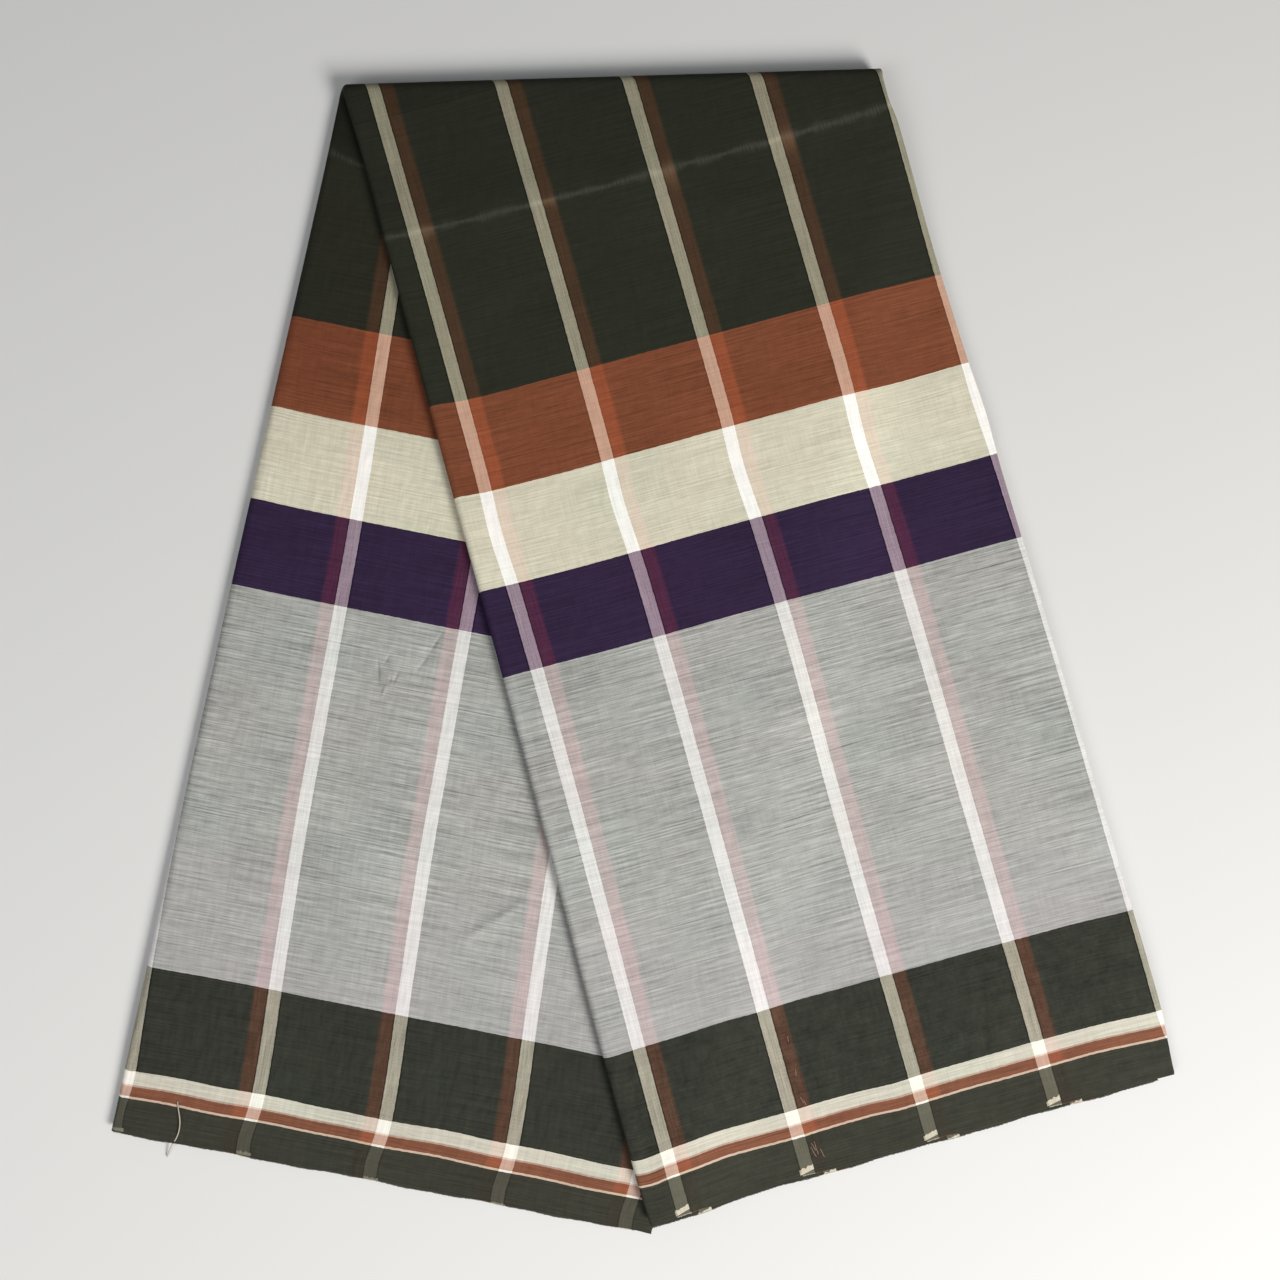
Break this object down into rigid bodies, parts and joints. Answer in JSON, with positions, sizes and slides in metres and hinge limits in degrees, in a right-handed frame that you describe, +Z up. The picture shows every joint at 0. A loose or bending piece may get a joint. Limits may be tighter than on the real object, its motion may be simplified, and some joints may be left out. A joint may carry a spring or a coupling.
{
  "type": "longyi sarong",
  "caption": "Plaid cotton longyi sarong, folded lengthwise into a flat strip and bent over once, lying flat in a V.",
  "frame": {"origin": "middle of the garment's plan box, on the surface that it lies on", "axes": "+Z up from that surface, +Y towards the fold at the top, +X towards the right wing's foot"},
  "size_m": [0.5348, 0.5973, 0.0132],
  "materials": {
    "plaid_cloth": "fine plain-weave cotton in olive, rust, cream, purple and pale grey, with a faint pressed sheen",
    "layered_cloth": "the same cotton, seen at its folded edges and selvages"
  },
  "bodies": {
    "root": {"right_wing_ply": "plaid_cloth", "left_wing_ply": "plaid_cloth", "hidden_layers": "layered_cloth"}
  },
  "joints": []
}
